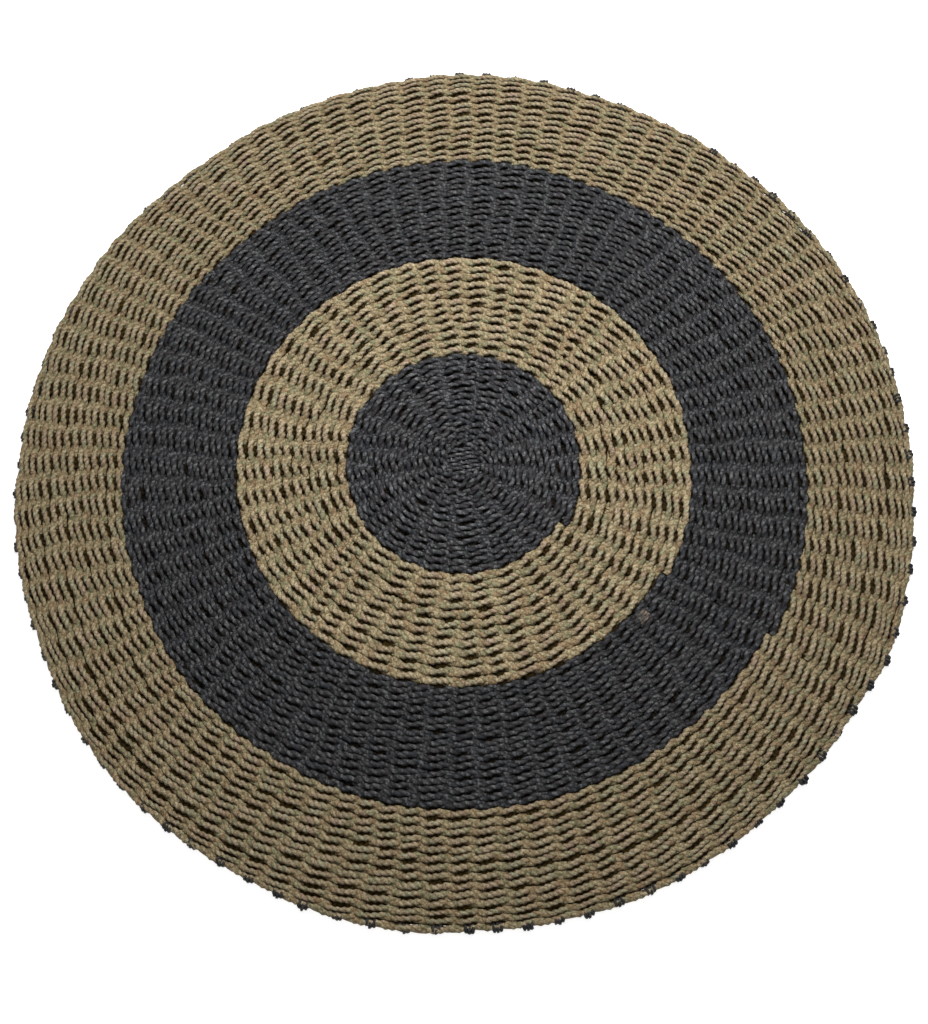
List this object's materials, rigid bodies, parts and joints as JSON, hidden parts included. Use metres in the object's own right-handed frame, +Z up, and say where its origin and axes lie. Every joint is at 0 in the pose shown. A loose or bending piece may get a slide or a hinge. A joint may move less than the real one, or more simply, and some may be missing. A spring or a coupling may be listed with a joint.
{
  "type": "round woven rug",
  "caption": "Round flat rug twined from seagrass cord in concentric dark and natural bands, with its warps turned in around the rim.",
  "frame": {"origin": "under the centre of the rug's rings, in the plane of its flat underside", "axes": "+Z up out of the woven face; +Y towards the edge that is furthest from the camera in the picture, +X to its right"},
  "size_m": [1.1991, 1.2069, 0.0135],
  "materials": {
    "dark_cord": "matt dyed seagrass cord, charcoal",
    "natural_cord": "matt natural seagrass cord, straw to olive brown"
  },
  "bodies": {
    "root": {"mat": "dark_cord"}
  },
  "joints": []
}
